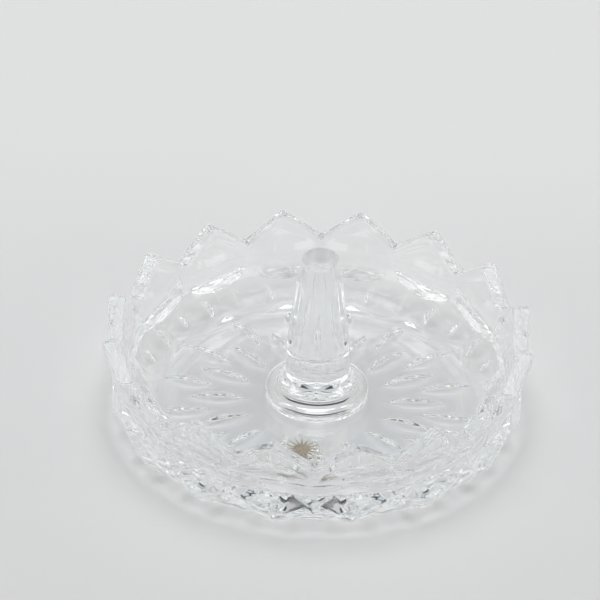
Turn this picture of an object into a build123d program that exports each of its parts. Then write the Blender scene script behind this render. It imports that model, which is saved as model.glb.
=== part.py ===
from build123d import *
import math
import os

# A clear crystal ring dish: a shallow round dish with a saw-toothed rim, and a tapered
# post in its middle that finger rings are dropped over.
# Millimetres, +Z up. The origin is the middle of the flat foot, so z = 0 is the table.

# --- driving dimensions of the dish ---------------------------------------------------
TEETH = 16  # points round the rim, one above each corner of the wall
RIM_RADIUS = 50.0  # from the axis to the point of a tooth
RIM_HEIGHT = 24.5  # top of the teeth
TOOTH_DEPTH = 6.2  # from the top of a tooth to where the flanks beside it would meet
TOOTH_FLAT = 1.8  # width of the blunt top of a tooth
NOTCH_ROUNDING = 2.0  # rounding at the bottom of the notch between two teeth

FOOT_RADIUS = 41.3  # the foot, under a tooth
FOOT_GROOVE = 3.0  # how far the outline of the foot is set in under a notch
SHOULDER_RADIUS = 48.6  # where the rounded heel meets the straight wall
SHOULDER_HEIGHT = 9.0
HEEL_STEPS = 5  # outlines that carry the rounded heel

FLOOR_THICKNESS = 5.0
BORE_RADIUS_TOP = 45.8  # inside of the wall at the rim
BORE_RADIUS_LOW = 44.5  # inside of the wall where the corner rounding starts
CORNER_RADIUS = 12.0  # rounding between the floor and the wall

# --- driving dimensions of the hollow cuts in the wall, one under each tooth ------------
HOLLOW_HEIGHT = 12.0  # of the deepest point
HOLLOW_DEPTH = 2.6  # below the corner of the wall that it cuts away
HOLLOW_WHEEL = 13.0  # radius of the wheel that cuts it
HOLLOW_EDGE = 55.0  # radius across the rounded edge of that wheel
HOLLOW_HALF_WIDTH = 11.0  # of the wheel, wider than the hollow itself

# --- driving dimensions of the cut leaves ---------------------------------------------
CUT_HALF_ANGLE = 62.0  # half angle of the cutting wheel's edge
LEAF_LENGTH = 12.5  # of the leaves under the floor
LEAF_WHEEL = 20.0  # radius of the wheel that cuts them
INNER_LEAF_START = 17.0  # inner point of the leaves in line with the notches, from the axis
OUTER_LEAF_START = 25.0  # inner point of the leaves in line with the teeth
HEEL_CUT_DEPTH = 1.0  # the small leaves on the heel, two to each tooth
HEEL_CUT_WHEEL = 14.0
HEEL_CUT_TURN = 40.0  # where they sit on the heel's quarter turn, degrees

# --- driving dimensions of the post ---------------------------------------------------
POST_HEIGHT = 43.4  # top of the post above the table
POST_FOOT_RADIUS = 12.0  # flange that stands on the floor
POST_FOOT_EDGE = 2.4  # upright edge of the flange
POST_WAIST_RADIUS = 7.6
POST_WAIST_HEIGHT = 14.5  # where the flare ends and the long taper starts
POST_MIDDLE_RADIUS = 6.3
POST_MIDDLE_HEIGHT = 28.0
POST_TIP_RADIUS = 4.3
POST_TIP_ROUNDING = 1.4

# --- driving dimensions of the bond and the label -------------------------------------
BOND_THICKNESS = 0.2  # cured clear adhesive under the post
BOND_MARGIN = 0.3  # the adhesive stops short of the edge of the flange

LABEL_SIDE = 10.0
LABEL_CORNER = 1.5
LABEL_CENTRE = (-3.0, -22.0)
LABEL_THICKNESS = 0.1
PRINT_THICKNESS = 0.05
PRINT_RADIUS = 4.4  # tips of the printed sunburst
PRINT_HUB_RADIUS = 1.5
PRINT_RAYS = 16

# --- derived --------------------------------------------------------------------------
PITCH = 360.0 / TEETH
PANEL_RATIO = math.cos(math.radians(PITCH / 2))  # middle of a flat panel, over its corner
NOTCH_HALF_WIDTH = RIM_RADIUS * math.sin(math.radians(PITCH / 2)) - TOOTH_FLAT / 2
POST_BASE = FLOOR_THICKNESS + BOND_THICKNESS
CLEARANCE = 3.0  # how far a cutter reaches past the surface that it cuts


def around(count, first_angle=0.0):
    """Angles of features spaced evenly round the axis."""
    return [first_angle + 360.0 * index / count for index in range(count)]


def petal_outline(radius, groove_radius, height):
    """Outline with an outward corner under each tooth, set in between them."""
    corners = []
    for angle in around(TEETH):
        groove = math.radians(angle)
        petal = math.radians(angle + PITCH / 2)
        corners.append((groove_radius * math.cos(groove), groove_radius * math.sin(groove)))
        corners.append((radius * math.cos(petal), radius * math.sin(petal)))
    return Plane.XY.offset(height) * make_face(Polyline(corners, close=True))


def heel_point(turn):
    """Radius and height under a tooth, turn degrees up the rounded heel."""
    angle = math.radians(turn)
    radius = FOOT_RADIUS + (SHOULDER_RADIUS - FOOT_RADIUS) * math.sin(angle)
    height = SHOULDER_HEIGHT * (1 - math.cos(angle))
    return radius, height


def heel_outline(turn):
    """Outline of the heel: petals at the foot, that flatten into panels at the shoulder."""
    radius, height = heel_point(turn)
    panel_set_in = radius * (1 - PANEL_RATIO)
    set_in = FOOT_GROOVE + (panel_set_in - FOOT_GROOVE) * math.sin(math.radians(turn))
    return petal_outline(radius, radius - set_in, height)


def outer_body():
    """The dish without its cuts: a rounded heel below a straight flared wall of flat panels."""
    heel = loft([heel_outline(90.0 * step / HEEL_STEPS) for step in range(HEEL_STEPS + 1)])
    shoulder = petal_outline(SHOULDER_RADIUS, SHOULDER_RADIUS * PANEL_RATIO, SHOULDER_HEIGHT)
    rim = petal_outline(RIM_RADIUS, RIM_RADIUS * PANEL_RATIO, RIM_HEIGHT)
    return heel + loft([shoulder, rim], ruled=True)


def bowl():
    """The space inside the dish, open at the top."""
    corner_height = FLOOR_THICKNESS + CORNER_RADIUS
    slope = (BORE_RADIUS_TOP - BORE_RADIUS_LOW) / (RIM_HEIGHT - corner_height)
    top = RIM_HEIGHT + CLEARANCE
    floor_edge = (BORE_RADIUS_LOW - CORNER_RADIUS, FLOOR_THICKNESS)
    wall_foot = (BORE_RADIUS_LOW, corner_height)
    wall_top = (BORE_RADIUS_LOW + slope * (top - corner_height), top)
    outline = Line((0, FLOOR_THICKNESS), floor_edge)
    outline += RadiusArc(floor_edge, wall_foot, -CORNER_RADIUS)
    outline += Polyline(wall_foot, wall_top, (0, top), (0, FLOOR_THICKNESS))
    return revolve(make_face(Plane.XZ * outline), Axis.Z)


def notch_cutter():
    """Wedge with a rounded edge that cuts the notch between two teeth, along +X."""
    bottom = RIM_HEIGHT - TOOTH_DEPTH
    rise = TOOTH_DEPTH + CLEARANCE
    half_width = NOTCH_HALF_WIDTH * rise / TOOTH_DEPTH
    outline = Polyline((0, bottom), (half_width, bottom + rise), (-half_width, bottom + rise), close=True)
    wedge = make_face(outline)
    wedge = fillet(wedge.vertices().sort_by(Axis.Y)[0], NOTCH_ROUNDING)
    start = BORE_RADIUS_LOW - CLEARANCE
    length = RIM_RADIUS + CLEARANCE - start
    return extrude(Plane.YZ.offset(start) * wedge, length)


def hollow_cut():
    """Cutter for the hollow under one tooth, in line with +X: a wheel with a rounded edge."""
    lean = (RIM_RADIUS - SHOULDER_RADIUS) / (RIM_HEIGHT - SHOULDER_HEIGHT)
    corner_radius = SHOULDER_RADIUS + lean * (HOLLOW_HEIGHT - SHOULDER_HEIGHT)
    axle_radius = corner_radius - HOLLOW_DEPTH + HOLLOW_WHEEL
    drop = HOLLOW_EDGE - math.sqrt(HOLLOW_EDGE**2 - HOLLOW_HALF_WIDTH**2)
    edge = ThreePointArc((-HOLLOW_HALF_WIDTH, -drop), (0, 0), (HOLLOW_HALF_WIDTH, -drop))
    edge += Polyline(
        (HOLLOW_HALF_WIDTH, -drop),
        (HOLLOW_HALF_WIDTH, -HOLLOW_WHEEL),
        (-HOLLOW_HALF_WIDTH, -HOLLOW_WHEEL),
        (-HOLLOW_HALF_WIDTH, -drop),
    )
    wheel = revolve(make_face(Plane.YZ * edge), Axis((0, 0, -HOLLOW_WHEEL), (0, 1, 0)))
    return Pos(axle_radius, 0, HOLLOW_HEIGHT + HOLLOW_WHEEL) * wheel


def wheel_cutter(wheel_radius, depth):
    """Edge of a cutting wheel that stands along +X, its highest point at the origin."""
    thickness = depth + CLEARANCE
    half_width = thickness * math.tan(math.radians(CUT_HALF_ANGLE))
    edge = Polyline((0, 0), (half_width, -thickness), (-half_width, -thickness), close=True)
    axle = Axis((0, 0, -wheel_radius), (0, 1, 0))
    sweep = 2 * math.degrees(math.acos(1 - thickness / wheel_radius))
    return revolve(make_face(Plane.YZ * edge), axle, sweep).rotate(axle, -sweep / 2)


def floor_leaf(start):
    """Cutter for one leaf under the floor, from its inner point to its outer one."""
    half_length = LEAF_LENGTH / 2
    depth = LEAF_WHEEL - math.sqrt(LEAF_WHEEL**2 - half_length**2)
    return Pos(start + half_length, 0, depth) * wheel_cutter(LEAF_WHEEL, depth)


def heel_leaf():
    """Cutter for one small leaf on the heel, half way between a groove and a petal."""
    radius, height = heel_point(HEEL_CUT_TURN)
    angle = math.radians(HEEL_CUT_TURN)
    out = math.sin(angle) / (SHOULDER_RADIUS - FOOT_RADIUS)
    down = math.cos(angle) / SHOULDER_HEIGHT
    tilt = math.degrees(math.atan2(out, down))
    cutter = Pos(0, 0, HEEL_CUT_DEPTH) * wheel_cutter(HEEL_CUT_WHEEL, HEEL_CUT_DEPTH)
    # Between a groove and a petal the heel is set in by about a quarter of the groove.
    return Pos(radius - FOOT_GROOVE / 4, 0, height) * Rot(0, -tilt, 0) * cutter


def spread(cutter, angles):
    """Copies of one cutter, turned about the axis of the dish."""
    return [cutter.rotate(Axis.Z, angle) for angle in angles]


def dish():
    """The cut crystal dish, in one piece."""
    cutters = [bowl()]
    cutters += spread(notch_cutter(), around(TEETH))
    cutters += spread(hollow_cut(), around(TEETH, PITCH / 2))
    cutters += spread(floor_leaf(INNER_LEAF_START), around(TEETH))
    cutters += spread(floor_leaf(OUTER_LEAF_START), around(TEETH, PITCH / 2))
    cutters += spread(heel_leaf(), around(2 * TEETH, PITCH / 4))
    return outer_body() - cutters


def ring_post():
    """The tapered post with its flared flange, ground flat underneath."""
    flange_top = POST_BASE + POST_FOOT_EDGE
    flange = Line((0, POST_BASE), (POST_FOOT_RADIUS, POST_BASE))
    flange += Line((POST_FOOT_RADIUS, POST_BASE), (POST_FOOT_RADIUS, flange_top))
    waist = (POST_WAIST_RADIUS, POST_WAIST_HEIGHT)
    flare = EllipticalCenterArc(
        (POST_FOOT_RADIUS, POST_WAIST_HEIGHT),
        POST_FOOT_RADIUS - POST_WAIST_RADIUS,
        POST_WAIST_HEIGHT - flange_top,
        start_angle=180,
        arc_size=90,
    )
    shaft_top = (POST_TIP_RADIUS, POST_HEIGHT - POST_TIP_ROUNDING)
    shaft = ThreePointArc(waist, (POST_MIDDLE_RADIUS, POST_MIDDLE_HEIGHT), shaft_top)
    crown = (POST_TIP_RADIUS - POST_TIP_ROUNDING, POST_HEIGHT)
    tip = RadiusArc(shaft_top, crown, -POST_TIP_ROUNDING)
    closing = Polyline(crown, (0, POST_HEIGHT), (0, POST_BASE))
    outline = make_face(Plane.XZ * (flange + flare + shaft + tip + closing))
    return revolve(outline, Axis.Z)


def bond_film():
    """The thin disc of clear adhesive between the floor and the post."""
    disc = Circle(POST_FOOT_RADIUS - BOND_MARGIN)
    return extrude(Plane.XY.offset(FLOOR_THICKNESS) * disc, BOND_THICKNESS)


def label_film():
    """The clear sticker on the floor, in front of the post."""
    sheet = Pos(*LABEL_CENTRE) * RectangleRounded(LABEL_SIDE, LABEL_SIDE, LABEL_CORNER)
    return extrude(Plane.XY.offset(FLOOR_THICKNESS) * sheet, LABEL_THICKNESS)


def label_print():
    """A plain sunburst printed on the sticker."""
    corners = []
    for angle in around(PRINT_RAYS):
        tip = math.radians(angle)
        root = math.radians(angle + 180.0 / PRINT_RAYS)
        corners.append((PRINT_RADIUS * math.cos(tip), PRINT_RADIUS * math.sin(tip)))
        corners.append((PRINT_HUB_RADIUS * math.cos(root), PRINT_HUB_RADIUS * math.sin(root)))
    sunburst = Pos(*LABEL_CENTRE) * make_face(Polyline(corners, close=True))
    return extrude(Plane.XY.offset(FLOOR_THICKNESS + LABEL_THICKNESS) * sunburst, PRINT_THICKNESS)


os.makedirs("parts", exist_ok=True)
for build in (dish, ring_post, bond_film, label_film, label_print):
    export_step(build(), f"parts/{build.__name__}.step")
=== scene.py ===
import math

import bpy
import numpy as np
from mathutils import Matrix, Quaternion, Vector


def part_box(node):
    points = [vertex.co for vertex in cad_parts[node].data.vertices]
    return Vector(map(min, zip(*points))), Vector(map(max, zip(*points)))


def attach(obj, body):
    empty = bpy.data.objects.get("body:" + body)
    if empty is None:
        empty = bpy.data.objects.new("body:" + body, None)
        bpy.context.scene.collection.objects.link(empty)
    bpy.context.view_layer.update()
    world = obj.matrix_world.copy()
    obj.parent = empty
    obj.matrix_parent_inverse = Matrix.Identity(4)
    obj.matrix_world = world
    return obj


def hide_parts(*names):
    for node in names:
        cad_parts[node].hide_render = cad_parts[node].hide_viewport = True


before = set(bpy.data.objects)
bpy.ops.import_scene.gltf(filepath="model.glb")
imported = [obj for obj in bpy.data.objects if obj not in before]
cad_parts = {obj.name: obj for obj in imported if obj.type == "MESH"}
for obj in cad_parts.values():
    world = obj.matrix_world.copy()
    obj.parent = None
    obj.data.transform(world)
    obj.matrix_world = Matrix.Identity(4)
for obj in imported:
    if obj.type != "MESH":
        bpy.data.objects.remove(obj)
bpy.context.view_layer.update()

MM = 0.001

# --- sizes taken from the frame -------------------------------------------------------
TEETH = 16
HALF_PITCH = math.pi / TEETH
PANEL_RATIO = math.cos(HALF_PITCH)  # middle of a flat panel, over its corner
DISH_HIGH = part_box("dish")[1]
POST_LOW, POST_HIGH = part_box("ring_post")
BOND_LOW, BOND_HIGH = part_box("bond_film")
FILM_LOW, FILM_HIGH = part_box("label_film")
PRINT_LOW, PRINT_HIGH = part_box("label_print")

RIM_RADIUS = DISH_HIGH.x / PANEL_RATIO  # the box ends at a flat panel, not at a corner
RIM_HEIGHT = DISH_HIGH.z
FLOOR_TOP = BOND_LOW.z

# --- shape of the dish, in metres -----------------------------------------------------
TOOTH_DEPTH = 6.2 * MM  # from the top of a tooth to where the flanks beside it would meet
TOOTH_FLAT = 1.8 * MM  # width of the blunt top of a tooth
NOTCH_ROUNDING = 0.63 * MM  # lifts the bottom of a notch as far as a 2 mm rounding does
FOOT_RADIUS = 41.3 * MM
FOOT_GROOVE = 3.0 * MM  # how far the outline of the foot is set in under a notch
SHOULDER_RADIUS = 48.6 * MM  # where the rounded heel meets the straight wall
SHOULDER_HEIGHT = 9.0 * MM
BORE_RADIUS_TOP = 45.8 * MM
BORE_RADIUS_LOW = 44.5 * MM
CORNER_RADIUS = 12.0 * MM
CORNER_TOP = FLOOR_TOP + CORNER_RADIUS  # where the rounding inside meets the wall

HOLLOW_HEIGHT = 12.0 * MM
HOLLOW_DEPTH = 2.6 * MM
HOLLOW_WHEEL = 13.0 * MM
HOLLOW_EDGE = 55.0 * MM  # radius across the rounded edge of that wheel

CUT_HALF_ANGLE = math.radians(62.0)  # of the wheels that cut the leaves
CUT_SLOPE = 1 / math.tan(CUT_HALF_ANGLE)
LEAF_LENGTH = 12.5 * MM
LEAF_WHEEL = 20.0 * MM
INNER_LEAF_START = 17.0 * MM
OUTER_LEAF_START = 25.0 * MM
HEEL_CUT_DEPTH = 1.0 * MM
HEEL_CUT_WHEEL = 14.0 * MM
HEEL_CUT_TURN = math.radians(40.0)  # where they sit on the heel's quarter turn
HEEL_CURVE = 8.0 * MM  # mean radius of the heel's quarter turn
FOOT_CUT_FADE = 0.5  # radians of that turn in which a cut at the foot's edge runs out

EDGE_SOFTNESS = 0.18 * MM  # polishing rounds every cut edge by about this much
TOOTH_SOFTNESS = 0.25 * MM  # and the two corners of a tooth's blunt top by this much
RIM_ROUNDING = 0.6 * MM

# --- how finely the dish is meshed ----------------------------------------------------
COLUMNS_PER_TOOTH = 48
FOOT_ROWS = 109
HEEL_ROWS = 35
OUTER_WALL_ROWS = 43
OUTER_WALL_SHARE = 0.93  # of the wall's height, below the rounded rim
RIM_ROWS = 7  # round each corner of the rim
RIM_TOP_ROWS = 4  # between the two corners
RIM_EDGE_STEPS = 4  # rounds of closing in on the edge where the wall meets the rim
INNER_WALL_ROWS = 19
FLOOR_CORNER_ROWS = 19
FLOOR_ROWS = 23

# --- shape of the post, in metres -----------------------------------------------------
POST_FOOT_EDGE = 2.4 * MM
POST_WAIST_RADIUS = 7.6 * MM
POST_WAIST_HEIGHT = 14.5 * MM
POST_MIDDLE_RADIUS = 6.3 * MM
POST_MIDDLE_HEIGHT = 28.0 * MM
POST_TIP_RADIUS = 4.3 * MM
POST_TIP_ROUNDING = 1.4 * MM
POST_COLUMNS = 160
FLARE_ROWS = 23
SHAFT_ROWS = 39
TIP_ROWS = 11

# --- shape of the sticker, in metres --------------------------------------------------
FILM_CORNER = 1.5 * MM
FILM_CORNER_STEPS = 6
PRINT_HUB_RADIUS = 1.5 * MM
PRINT_RAYS = 16

SAME_PLACE = 0.01 * MM  # two heights or radii closer than this are the same

# --- glass ----------------------------------------------------------------------------
GLASS_INDEX = 1.545  # lead crystal bends light a little more than window glass

# --- backdrop, in metres --------------------------------------------------------------
PAPER_HALF_WIDTH = 1.6
PAPER_FRONT = -1.2
PAPER_BEND_START = 0.9
PAPER_BEND_RADIUS = 0.25
PAPER_BEND_STEPS = 24
PAPER_TOP = 0.45
PAPER_DROP = 0.05 * MM  # the paper lies a hair under the foot, so they never share a plane
# The paper's colour holds painted shade: it greys toward the front, where the light falls off.
PAPER_SHADE_UP_TO = -0.15
PAPER_LIT_FROM = 0.2
PAPER_SHADED_FRONT = (0.70, 0.699, 0.698, 1)
PAPER_LIT_BACK = (0.815, 0.814, 0.813, 1)
PAPER_UNEVENNESS = 0.25  # share of the way between the two that the noise can add

# --- room -----------------------------------------------------------------------------
ROOM_BRIGHTNESS = 0.6

# What else stands round the dish: direction from the camera side, round to the right, and
# height above the table, then width and height of the patch, all in degrees, and brightness.
# The doorway is dark and lies straight behind the dish, in two halves that meet there.
SURROUNDINGS = {
    "ceiling": (0.0, 90.0, 400.0, 56.0, 1.85),
    "window_left": (-57.0, 12.0, 46.0, 22.0, 2.3),
    "window_right": (57.0, 12.0, 46.0, 22.0, 2.3),
    "wall_behind_camera": (0.0, 28.0, 54.0, 14.0, 0.46),
    "camera": (0.0, 47.0, 30.0, 16.0, 0.12),
    "doorway_left": (-168.0, 24.0, 26.0, 26.0, 0.04),
    "doorway_right": (168.0, 24.0, 26.0, 26.0, 0.04),
}
COLOUR_SPREAD = (0.4, 0.0, -0.4)  # degrees each colour is lifted, as cut glass spreads them
PATCH_EDGE = 2.0  # degrees over which the edge of a patch fades

# --- camera ---------------------------------------------------------------------------
CAMERA_DISTANCE = 0.7
CAMERA_ELEVATION = math.radians(35.1)
CAMERA_ROLL = math.radians(1.69)
AIM_HEIGHT = 0.012
SENSOR_WIDTH = 36.0  # this and the focal length are in millimetres
FOCAL_LENGTH = 181.0
AIM_RIGHT = 0.0288  # where the aim point lands, right of and below the picture's middle,
AIM_DOWN = 0.1145  # as a share of its width


def soft_abs(value, softness):
    """Distance from a crease, with the crease rounded off."""
    return np.sqrt(value**2 + softness**2) - softness


def soft_max(a, b, softness):
    """The larger of two values, with the change-over rounded off."""
    return (a + b + np.sqrt((a - b) ** 2 + softness**2)) / 2


def soft_min(a, b, softness):
    """The smaller of two values, with the change-over rounded off."""
    return -soft_max(-a, -b, softness)


def from_nearest(angle, first):
    """Signed angle from the nearest of the sixteen directions that start at first."""
    pitch = 2 * HALF_PITCH
    return (angle - first + pitch / 2) % pitch - pitch / 2


def panel_radius(corner, set_in, from_groove):
    """Radius of the flat panel between a groove and the corner beside it."""
    groove = corner - set_in
    turned = np.abs(from_groove)
    across = groove * corner * math.sin(HALF_PITCH)
    return across / (corner * np.sin(HALF_PITCH - turned) + groove * np.sin(turned))


def corner_radius_at(height):
    """Radius of the wall's corners at a height above the shoulder."""
    share = (height - SHOULDER_HEIGHT) / (RIM_HEIGHT - SHOULDER_HEIGHT)
    return SHOULDER_RADIUS + (RIM_RADIUS - SHOULDER_RADIUS) * share


def hollow_radius(radius, height, angle):
    """Radius of the hollow under the nearest tooth, as a wheel with a rounded edge cuts it."""
    turned = from_nearest(angle, HALF_PITCH)
    across = radius * np.sin(turned)
    reach = HOLLOW_WHEEL - (HOLLOW_EDGE - np.sqrt(HOLLOW_EDGE**2 - across**2))
    above = height - HOLLOW_HEIGHT
    axle = corner_radius_at(HOLLOW_HEIGHT) - HOLLOW_DEPTH + HOLLOW_WHEEL
    return (axle - np.sqrt(np.maximum(reach**2 - above**2, 0))) / np.cos(turned)


def wall_radius(height, angle):
    """Radius of the straight wall: flat panels, hollowed out under the teeth."""
    corner = corner_radius_at(height)
    panel = panel_radius(corner, corner * (1 - PANEL_RATIO), from_nearest(angle, 0.0))
    return soft_min(panel, hollow_radius(panel, height, angle), EDGE_SOFTNESS)


def wheel_depth(along, across, wheel, half_length):
    """Depth of a leaf cut by a wheel with a V-shaped edge, negative outside the leaf."""
    deepest = wheel - math.sqrt(wheel**2 - half_length**2)
    arc = np.sqrt(np.maximum(wheel**2 - along**2, 0)) - (wheel - deepest)
    return arc - CUT_SLOPE * soft_abs(across, EDGE_SOFTNESS)


def floor_cut(radius, angle):
    """How high the leaf cuts reach into the underside, at a radius and angle."""
    depth = np.zeros_like(radius)
    half = LEAF_LENGTH / 2
    for start, first in ((INNER_LEAF_START, 0.0), (OUTER_LEAF_START, HALF_PITCH)):
        across = radius * np.sin(from_nearest(angle, first))
        along = np.clip(radius - start - half, -LEAF_WHEEL, LEAF_WHEEL)
        depth = soft_max(depth, wheel_depth(along, across, LEAF_WHEEL, half), EDGE_SOFTNESS)
    return depth


def heel_cut(turn, radius, angle):
    """Depth of the small leaves on the heel, at a place on its quarter turn."""
    along = (turn - HEEL_CUT_TURN) * HEEL_CURVE
    across = radius * np.sin(from_nearest(2 * angle, HALF_PITCH) / 2)
    fall = along**2 * (1 / HEEL_CUT_WHEEL + 1 / HEEL_CURVE) / 2
    depth = HEEL_CUT_DEPTH - fall - CUT_SLOPE * soft_abs(across, EDGE_SOFTNESS)
    return soft_max(np.zeros_like(depth), depth, EDGE_SOFTNESS)


def rim_height(radius, from_groove):
    """Height of the saw-toothed rim at a radius and an angle from the nearest notch."""
    half_width = RIM_RADIUS * math.sin(HALF_PITCH) - TOOTH_FLAT / 2
    slope = TOOTH_DEPTH / half_width
    across = np.hypot(radius * np.sin(from_groove), NOTCH_ROUNDING)
    flank = RIM_HEIGHT - TOOTH_DEPTH + slope * across
    return soft_min(flank, np.full_like(flank, RIM_HEIGHT), TOOTH_SOFTNESS)


def shares(count):
    """Evenly spaced shares of a way, up to its end."""
    return np.arange(1, count + 1) / count


def quarter_turn(count):
    """Evenly spaced angles through a quarter turn, up to its end."""
    return math.pi / 2 * shares(count)


def ring(radius, height, count):
    """One ring of (radius, height) points."""
    return np.stack([np.broadcast_to(radius, count), np.broadcast_to(height, count)], axis=-1)


def between(start, end, count):
    """Rings on the way from one ring to another, the last one included."""
    return [start + (end - start) * share for share in shares(count)]


def rounded_corner(before, corner, after):
    """Rings round a corner, as a quadratic curve that starts and ends a little away from it."""

    def toward(target):
        gap = target - corner
        length = np.linalg.norm(gap, axis=-1, keepdims=True)
        return corner + gap * np.minimum(RIM_ROUNDING / length, 1.0)

    first = toward(before)
    last = toward(after)
    share = np.linspace(0, 1, RIM_ROWS)[:, None, None]
    return (1 - share) ** 2 * first + 2 * share * (1 - share) * corner + share**2 * last


def foot_rows(angle):
    """Rings from the middle of the underside to the edge of the foot."""
    foot = panel_radius(FOOT_RADIUS, FOOT_GROOVE, from_nearest(angle, 0.0))
    rows = []
    for share in shares(FOOT_ROWS):
        rows.append(ring(foot * share, floor_cut(foot * share, angle), angle.shape))
    return rows


def heel_rows(angle, foot_cut):
    """Rings up the rounded heel, from the foot to the shoulder."""
    rows = []
    from_groove = from_nearest(angle, 0.0)
    for turn in quarter_turn(HEEL_ROWS):
        corner = FOOT_RADIUS + (SHOULDER_RADIUS - FOOT_RADIUS) * math.sin(turn)
        height = SHOULDER_HEIGHT * (1 - math.cos(turn))
        panel_set_in = corner * (1 - PANEL_RATIO)
        set_in = FOOT_GROOVE + (panel_set_in - FOOT_GROOVE) * math.sin(turn)
        radius = panel_radius(corner, set_in, from_groove)
        depth = heel_cut(turn, radius, angle) + foot_cut * max(0.0, 1 - turn / FOOT_CUT_FADE) ** 2
        out = math.sin(turn) / (SHOULDER_RADIUS - FOOT_RADIUS)
        down = math.cos(turn) / SHOULDER_HEIGHT
        size = math.hypot(out, down)
        radius = radius - depth * out / size
        height = height + depth * down / size
        radius = soft_min(radius, hollow_radius(radius, height, angle), EDGE_SOFTNESS)
        rows.append(ring(radius, height, angle.shape))
    return rows


def bore_radius(height):
    """Radius of the inside of the wall."""
    share = (height - CORNER_TOP) / (RIM_HEIGHT - CORNER_TOP)
    return BORE_RADIUS_LOW + (BORE_RADIUS_TOP - BORE_RADIUS_LOW) * share


def rim_edge(radius_at, from_groove):
    """Where a side of the wall meets the saw-toothed top, closed in on step by step."""
    radius = RIM_RADIUS
    for _ in range(RIM_EDGE_STEPS):
        height = rim_height(radius, from_groove)
        radius = radius_at(height)
    return ring(radius, height, from_groove.shape)


def wall_rows(angle):
    """Rings up the outside of the wall, over the saw-toothed rim and down the inside."""

    def outside_radius(height):
        return wall_radius(height, angle)

    from_groove = from_nearest(angle, 0.0)
    outer_edge = rim_edge(outside_radius, from_groove)
    inner_edge = rim_edge(bore_radius, from_groove)
    rows = []
    for share in OUTER_WALL_SHARE * shares(OUTER_WALL_ROWS):
        height = SHOULDER_HEIGHT + (outer_edge[:, 1] - SHOULDER_HEIGHT) * share
        rows.append(ring(outside_radius(height), height, angle.shape))
    wall_foot = ring(BORE_RADIUS_LOW, CORNER_TOP, angle.shape)
    outer_rounding = rounded_corner(rows[-1], outer_edge, inner_edge)
    inner_rounding = rounded_corner(outer_edge, inner_edge, wall_foot)
    rows.extend(outer_rounding)
    rows.extend(between(outer_rounding[-1], inner_rounding[0], RIM_TOP_ROWS + 1)[:-1])
    rows.extend(inner_rounding)
    rows.extend(between(inner_rounding[-1], wall_foot, INNER_WALL_ROWS))
    return rows


def floor_rows(angle):
    """Rings down the rounded corner inside the wall, then in across the floor."""
    rows = []
    for turn in quarter_turn(FLOOR_CORNER_ROWS):
        radius = BORE_RADIUS_LOW - CORNER_RADIUS * (1 - math.cos(turn))
        height = FLOOR_TOP + CORNER_RADIUS * (1 - math.sin(turn))
        rows.append(ring(radius, height, angle.shape))
    rows.extend(between(rows[-1], ring(BOND_HIGH.x, FLOOR_TOP, angle.shape), FLOOR_ROWS))
    rows.append(ring(BOND_HIGH.x / 2, FLOOR_TOP, angle.shape))
    return rows


def dish_rows(angle):
    """Rings of the whole dish, from the middle of the underside to the middle of the floor."""
    rows = foot_rows(angle)
    rows += heel_rows(angle, rows[-1][:, 1])
    rows += wall_rows(angle)
    rows += floor_rows(angle)
    return rows


def post_outline():
    """Points (radius, height) up the post, from its underside to its tip."""
    foot = POST_HIGH.x
    base = POST_LOW.z
    edge_top = base + POST_FOOT_EDGE
    outline = [(BOND_HIGH.x / 2, base), (BOND_HIGH.x, base), (foot, base), (foot, edge_top)]
    for turn in quarter_turn(FLARE_ROWS):
        radius = foot - (foot - POST_WAIST_RADIUS) * math.sin(turn)
        height = POST_WAIST_HEIGHT - (POST_WAIST_HEIGHT - edge_top) * math.cos(turn)
        outline.append((radius, height))
    shaft_top = POST_HIGH.z - POST_TIP_ROUNDING
    heights = (POST_WAIST_HEIGHT, POST_MIDDLE_HEIGHT, shaft_top)
    taper = np.polyfit(heights, (POST_WAIST_RADIUS, POST_MIDDLE_RADIUS, POST_TIP_RADIUS), 2)
    for share in shares(SHAFT_ROWS):
        height = POST_WAIST_HEIGHT + (shaft_top - POST_WAIST_HEIGHT) * share
        outline.append((np.polyval(taper, height), height))
    for turn in quarter_turn(TIP_ROWS):
        radius = POST_TIP_RADIUS - POST_TIP_ROUNDING * (1 - math.cos(turn))
        outline.append((radius, shaft_top + POST_TIP_ROUNDING * math.sin(turn)))
    return outline


def add_object(name, points, faces, smooth):
    """Puts a mesh into the scene as a named object."""
    mesh = bpy.data.meshes.new(name)
    mesh.from_pydata(points, [], faces)
    mesh.polygons.foreach_set("use_smooth", [smooth] * len(mesh.polygons))
    mesh.update()
    piece = bpy.data.objects.new(name, mesh)
    bpy.context.scene.collection.objects.link(piece)
    return piece


def spin_mesh(name, rows, angle, low_middle, high_middle):
    """Closed mesh from rings of (radius, height), with a middle point at each end."""
    count = len(angle)
    rings = np.stack(rows)
    x = rings[..., 0] * np.cos(angle)
    y = rings[..., 0] * np.sin(angle)
    points = np.stack([x, y, rings[..., 1]], axis=-1).reshape(-1, 3)
    points = np.vstack([points, [(0, 0, low_middle), (0, 0, high_middle)]])
    faces = []
    step = np.arange(count)
    following = (step + 1) % count
    for row in range(len(rows) - 1):
        here = row * count
        above = here + count
        quads = np.stack([here + step, here + following, above + following, above + step], axis=-1)
        faces.extend(quads.tolist())
    bottom = len(points) - 2
    top = len(points) - 1
    last = (len(rows) - 1) * count
    for here, after in zip(step.tolist(), following.tolist()):
        faces.append([bottom, after, here])
        faces.append([top, last + here, last + after])
    return add_object(name, points.tolist(), faces, True)


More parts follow.
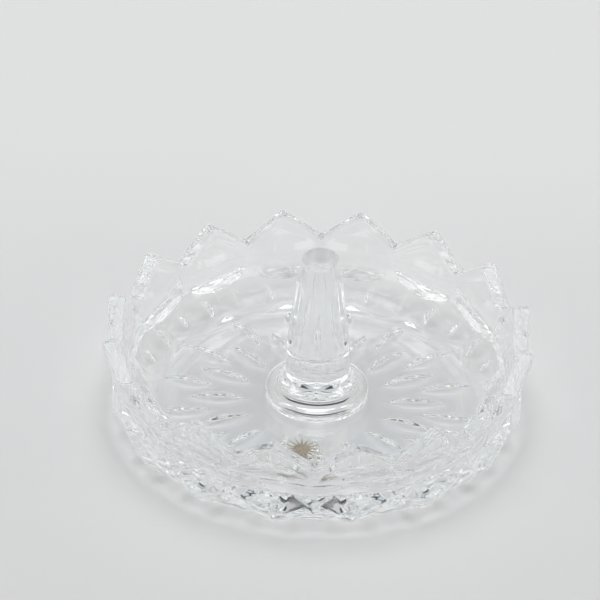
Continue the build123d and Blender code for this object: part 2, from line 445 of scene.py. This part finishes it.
def prism(name, outline, low, high):
    """Closed flat piece: a star-convex outline of (x, y) points, given a thickness."""
    count = len(outline)
    middle_x = sum(x for x, _ in outline) / count
    middle_y = sum(y for _, y in outline) / count
    points = [(x, y, low) for x, y in outline] + [(x, y, high) for x, y in outline]
    points += [(middle_x, middle_y, low), (middle_x, middle_y, high)]
    faces = []
    for index in range(count):
        after = (index + 1) % count
        faces.append((index, after, count + after, count + index))
        faces.append((2 * count, after, index))
        faces.append((2 * count + 1, count + index, count + after))
    return add_object(name, points, faces, False)


def set_materials(piece, surface, joint, joint_heights):
    """Gives a piece its material, and the joint material to the faces bonded together."""
    piece.data.materials.append(surface)
    piece.data.materials.append(joint)
    points = piece.data.vertices
    for face in piece.data.polygons:
        corners = [points[index].co for index in face.vertices]
        for height in joint_heights:
            level = all(abs(corner.z - height) < SAME_PLACE for corner in corners)
            if level and all(corner.xy.length < BOND_HIGH.x + SAME_PLACE for corner in corners):
                face.material_index = 1


def stand_in(piece, node):
    """Puts a piece in the place of a node of the frame."""
    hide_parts(node)
    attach(piece, "root")


def crystal_dish(crystal, joint):
    """The cut dish, spun up ring by ring."""
    count = TEETH * COLUMNS_PER_TOOTH
    angle = np.arange(count) * 2 * math.pi / count
    piece = spin_mesh("crystal_dish", dish_rows(angle), angle, 0.0, FLOOR_TOP)
    set_materials(piece, crystal, joint, [FLOOR_TOP])
    stand_in(piece, "dish")


def crystal_post(crystal, joint):
    """The tapered post on its flared flange."""
    angle = np.arange(POST_COLUMNS) * 2 * math.pi / POST_COLUMNS
    rows = [ring(radius, height, angle.shape) for radius, height in post_outline()]
    piece = spin_mesh("crystal_post", rows, angle, POST_LOW.z, POST_HIGH.z)
    set_materials(piece, crystal, joint, [POST_LOW.z])
    stand_in(piece, "ring_post")


def adhesive_disc(adhesive, joint):
    """The thin disc that bonds the post to the floor."""
    angle = np.arange(POST_COLUMNS) * 2 * math.pi / POST_COLUMNS
    rows = [ring(BOND_HIGH.x, height, angle.shape) for height in (BOND_LOW.z, BOND_HIGH.z)]
    piece = spin_mesh("adhesive_disc", rows, angle, BOND_LOW.z, BOND_HIGH.z)
    set_materials(piece, adhesive, joint, [BOND_LOW.z, BOND_HIGH.z])
    stand_in(piece, "bond_film")


def sticker_film(film):
    """The clear square sticker, with rounded corners."""
    outline = []
    corners = (
        (FILM_HIGH.x, FILM_HIGH.y, 0),
        (FILM_LOW.x, FILM_HIGH.y, 90),
        (FILM_LOW.x, FILM_LOW.y, 180),
        (FILM_HIGH.x, FILM_LOW.y, 270),
    )
    middle = (FILM_LOW + FILM_HIGH) / 2
    for x, y, first in corners:
        centre_x = x - math.copysign(FILM_CORNER, x - middle.x)
        centre_y = y - math.copysign(FILM_CORNER, y - middle.y)
        for step in range(FILM_CORNER_STEPS + 1):
            turn = math.radians(first + 90 * step / FILM_CORNER_STEPS)
            across = FILM_CORNER * math.cos(turn)
            along = FILM_CORNER * math.sin(turn)
            outline.append((centre_x + across, centre_y + along))
    piece = prism("sticker_film", outline, FILM_LOW.z, FILM_HIGH.z)
    piece.data.materials.append(film)
    stand_in(piece, "label_film")


def sticker_print(ink):
    """The plain sunburst printed on the sticker."""
    middle = (PRINT_LOW + PRINT_HIGH) / 2
    tip_radius = (PRINT_HIGH.x - PRINT_LOW.x) / 2
    outline = []
    for step in range(2 * PRINT_RAYS):
        turn = math.pi * step / PRINT_RAYS
        radius = PRINT_HUB_RADIUS if step % 2 else tip_radius
        outline.append((middle.x + radius * math.cos(turn), middle.y + radius * math.sin(turn)))
    piece = prism("sticker_print", outline, PRINT_LOW.z, PRINT_HIGH.z)
    piece.data.materials.append(ink)
    stand_in(piece, "label_print")


# --- materials ------------------------------------------------------------------------
def new_material(name):
    """An empty node material, with its node tree."""
    material = bpy.data.materials.new(name)
    material.use_nodes = True
    tree = material.node_tree
    tree.nodes.clear()
    return material, tree


def add_node(tree, kind, **values):
    """Adds a shader node and sets its inputs and properties by name."""
    node = tree.nodes.new(kind)
    for name, value in values.items():
        label = name.replace("_", " ")
        if label in node.inputs:
            node.inputs[label].default_value = value
        else:
            setattr(node, name, value)
    return node


def calculate(tree, operation, first, second):
    """One step of arithmetic; either value may be a number or another node's output."""
    step = add_node(tree, "ShaderNodeMath", operation=operation)
    for value, slot in ((first, step.inputs[0]), (second, step.inputs[1])):
        if isinstance(value, (int, float)):
            slot.default_value = value
        else:
            tree.links.new(value, slot)
    return step.outputs[0]


def noise(tree, scale, detail):
    """Noise through the piece, in its own coordinates."""
    place = add_node(tree, "ShaderNodeTexCoord")
    texture = add_node(tree, "ShaderNodeTexNoise", Scale=scale, Detail=detail)
    tree.links.new(place.outputs["Object"], texture.inputs["Vector"])
    return texture.outputs["Fac"]


def crystal_material():
    """Clear lead crystal, with the faint ripple and tint of pressed and polished glass."""
    material, tree = new_material("lead_crystal")
    ripple = add_node(tree, "ShaderNodeBump", Strength=0.12, Distance=0.02 * MM)
    tree.links.new(noise(tree, 220.0, 1.0), ripple.inputs["Height"])
    tint = add_node(tree, "ShaderNodeValToRGB")
    tint.color_ramp.elements[0].color = (0.996, 0.999, 0.997, 1)
    tint.color_ramp.elements[1].color = (0.996, 0.998, 1.0, 1)
    tree.links.new(noise(tree, 60.0, 1.0), tint.inputs["Fac"])
    glass = add_node(tree, "ShaderNodeBsdfGlass", IOR=GLASS_INDEX, Roughness=0.0)
    tree.links.new(tint.outputs["Color"], glass.inputs["Color"])
    tree.links.new(ripple.outputs["Normal"], glass.inputs["Normal"])
    output = add_node(tree, "ShaderNodeOutputMaterial")
    tree.links.new(glass.outputs[0], output.inputs["Surface"])
    return material


def joint_material():
    """Bonded faces: the adhesive matches the glass, so nothing shows there."""
    material, tree = new_material("bonded_joint")
    clear = add_node(tree, "ShaderNodeBsdfTransparent", Color=(1, 1, 1, 1))
    output = add_node(tree, "ShaderNodeOutputMaterial")
    tree.links.new(clear.outputs[0], output.inputs["Surface"])
    return material


def thin_clear_material(name, colour):
    """A thin clear layer: seen through, with a faint sheen and a slight unevenness."""
    material, tree = new_material(name)
    thicker = tuple(0.99 * part for part in colour)
    ramp = add_node(tree, "ShaderNodeValToRGB")
    ramp.color_ramp.elements[0].color = thicker + (1,)
    ramp.color_ramp.elements[1].color = colour + (1,)
    tree.links.new(noise(tree, 900.0, 2.0), ramp.inputs["Fac"])
    clear = add_node(tree, "ShaderNodeBsdfTransparent")
    tree.links.new(ramp.outputs["Color"], clear.inputs["Color"])
    sheen = add_node(tree, "ShaderNodeBsdfGlossy", Roughness=0.15)
    tilt = add_node(tree, "ShaderNodeFresnel", IOR=1.15)
    mix = add_node(tree, "ShaderNodeMixShader")
    tree.links.new(tilt.outputs[0], mix.inputs["Fac"])
    tree.links.new(clear.outputs[0], mix.inputs[1])
    tree.links.new(sheen.outputs[0], mix.inputs[2])
    output = add_node(tree, "ShaderNodeOutputMaterial")
    tree.links.new(mix.outputs[0], output.inputs["Surface"])
    return material


def ink_material():
    """Dark gold print, a little worn."""
    material, tree = new_material("dark_gold_ink")
    ramp = add_node(tree, "ShaderNodeValToRGB")
    ramp.color_ramp.elements[0].position = 0.35
    ramp.color_ramp.elements[0].color = (0.28, 0.24, 0.18, 1)
    ramp.color_ramp.elements[1].position = 0.7
    ramp.color_ramp.elements[1].color = (0.5, 0.44, 0.34, 1)
    tree.links.new(noise(tree, 1800.0, 3.0), ramp.inputs["Fac"])
    surface = add_node(tree, "ShaderNodeBsdfPrincipled", Metallic=0.1, Roughness=0.5)
    tree.links.new(ramp.outputs["Color"], surface.inputs["Base Color"])
    output = add_node(tree, "ShaderNodeOutputMaterial")
    tree.links.new(surface.outputs[0], output.inputs["Surface"])
    return material


def paper_material():
    """Matt white paper, faintly uneven, with painted shade that greys it toward the front, where
    the light falls off.
    """
    material, tree = new_material("backdrop_paper")
    place = add_node(tree, "ShaderNodeTexCoord")
    split = add_node(tree, "ShaderNodeSeparateXYZ")
    tree.links.new(place.outputs["Object"], split.inputs[0])
    # Painted shade: the paper's colour greys toward the front, where the light falls off.
    depth = add_node(tree, "ShaderNodeMapRange", interpolation_type="SMOOTHSTEP")
    depth.inputs["From Min"].default_value = PAPER_SHADE_UP_TO
    depth.inputs["From Max"].default_value = PAPER_LIT_FROM
    tree.links.new(split.outputs["Y"], depth.inputs["Value"])
    uneven = calculate(tree, "MULTIPLY", noise(tree, 9.0, 2.0), PAPER_UNEVENNESS)
    ramp = add_node(tree, "ShaderNodeValToRGB")
    ramp.color_ramp.elements[0].color = PAPER_SHADED_FRONT
    ramp.color_ramp.elements[1].color = PAPER_LIT_BACK
    tree.links.new(calculate(tree, "ADD", depth.outputs[0], uneven), ramp.inputs["Fac"])
    surface = add_node(tree, "ShaderNodeBsdfDiffuse")
    tree.links.new(ramp.outputs["Color"], surface.inputs["Color"])
    output = add_node(tree, "ShaderNodeOutputMaterial")
    tree.links.new(surface.outputs[0], output.inputs["Surface"])
    return material


# --- stage ----------------------------------------------------------------------------
def backdrop():
    """A paper sweep: flat under the dish, curving up behind it."""
    outline = [(PAPER_FRONT, 0.0), (PAPER_BEND_START, 0.0)]
    for turn in quarter_turn(PAPER_BEND_STEPS):
        y = PAPER_BEND_START + PAPER_BEND_RADIUS * math.sin(turn)
        outline.append((y, PAPER_BEND_RADIUS * (1 - math.cos(turn))))
    outline.append((PAPER_BEND_START + PAPER_BEND_RADIUS, PAPER_TOP))
    points = []
    for y, z in outline:
        points.append((-PAPER_HALF_WIDTH, y, z - PAPER_DROP))
        points.append((PAPER_HALF_WIDTH, y, z - PAPER_DROP))
    faces = [(2 * i, 2 * i + 1, 2 * i + 3, 2 * i + 2) for i in range(len(outline) - 1)]
    sweep = add_object("backdrop", points, faces, True)
    sweep.data.materials.append(paper_material())


def inside(tree, angle, middle, width):
    """1 within half a width of the middle, fading to 0 at the edge."""
    away = calculate(tree, "ABSOLUTE", calculate(tree, "SUBTRACT", angle, middle), 0.0)
    fade = add_node(tree, "ShaderNodeMapRange", interpolation_type="SMOOTHSTEP")
    fade.inputs["From Min"].default_value = (width + PATCH_EDGE) / 2
    fade.inputs["From Max"].default_value = (width - PATCH_EDGE) / 2
    tree.links.new(away, fade.inputs["Value"])
    return fade.outputs[0]


def brightness(tree, azimuth, elevation, spread):
    """Brightness of the room in one direction, for one colour of light."""
    total = ROOM_BRIGHTNESS
    for middle, height, width, tall, patch in SURROUNDINGS.values():
        across = inside(tree, azimuth, middle, width)
        upright = inside(tree, elevation, height + spread, tall)
        mask = calculate(tree, "MULTIPLY", across, upright)
        change = calculate(tree, "MULTIPLY", mask, calculate(tree, "SUBTRACT", patch, total))
        total = calculate(tree, "ADD", total, change)
    return total


def room():
    """A pale room with a bright ceiling, two windows, and a dark doorway behind the dish."""
    surroundings = bpy.data.worlds.new("room")
    surroundings.use_nodes = True
    tree = surroundings.node_tree
    direction = add_node(tree, "ShaderNodeTexCoord")
    split = add_node(tree, "ShaderNodeSeparateXYZ")
    tree.links.new(direction.outputs["Generated"], split.inputs[0])
    toward_camera = calculate(tree, "MULTIPLY", split.outputs["Y"], -1.0)
    azimuth = calculate(tree, "ARCTAN2", split.outputs["X"], toward_camera)
    azimuth = calculate(tree, "DEGREES", azimuth, 0.0)
    elevation = calculate(tree, "ARCSINE", split.outputs["Z"], 0.0)
    elevation = calculate(tree, "DEGREES", elevation, 0.0)
    colour = add_node(tree, "ShaderNodeCombineColor")
    for slot, spread in zip(colour.inputs, COLOUR_SPREAD):
        tree.links.new(brightness(tree, azimuth, elevation, spread), slot)
    tree.links.new(colour.outputs[0], tree.nodes["Background"].inputs["Color"])
    bpy.context.scene.world = surroundings


def camera():
    """A long lens that looks down on the dish from the front."""
    data = bpy.data.cameras.new("camera")
    data.sensor_width = SENSOR_WIDTH
    data.lens = FOCAL_LENGTH
    data.shift_x = -AIM_RIGHT
    data.shift_y = AIM_DOWN
    lens = bpy.data.objects.new("camera", data)
    back = Vector((0, -math.cos(CAMERA_ELEVATION), math.sin(CAMERA_ELEVATION)))
    lens.location = Vector((0, 0, AIM_HEIGHT)) + back * CAMERA_DISTANCE
    lens.rotation_mode = "QUATERNION"
    lens.rotation_quaternion = (-back).to_track_quat("-Z", "Y") @ Quaternion((0, 0, 1), CAMERA_ROLL)
    bpy.context.scene.collection.objects.link(lens)
    bpy.context.scene.camera = lens


def exposure():
    """Plain tones, as in a product photograph, and light that bounces on inside the glass."""
    bpy.context.scene.view_settings.view_transform = "Standard"
    paths = bpy.context.scene.cycles
    paths.max_bounces = 32
    paths.glossy_bounces = 20
    paths.transmission_bounces = 28
    paths.transparent_max_bounces = 32
    paths.blur_glossy = 0.0  # otherwise the light under the dish is lost


crystal = crystal_material()
joint = joint_material()
crystal_dish(crystal, joint)
crystal_post(crystal, joint)
adhesive_disc(thin_clear_material("clear_adhesive", (0.98, 0.985, 0.98)), joint)
sticker_film(thin_clear_material("clear_film", (0.995, 0.995, 0.985)))
sticker_print(ink_material())
backdrop()
room()
camera()
exposure()
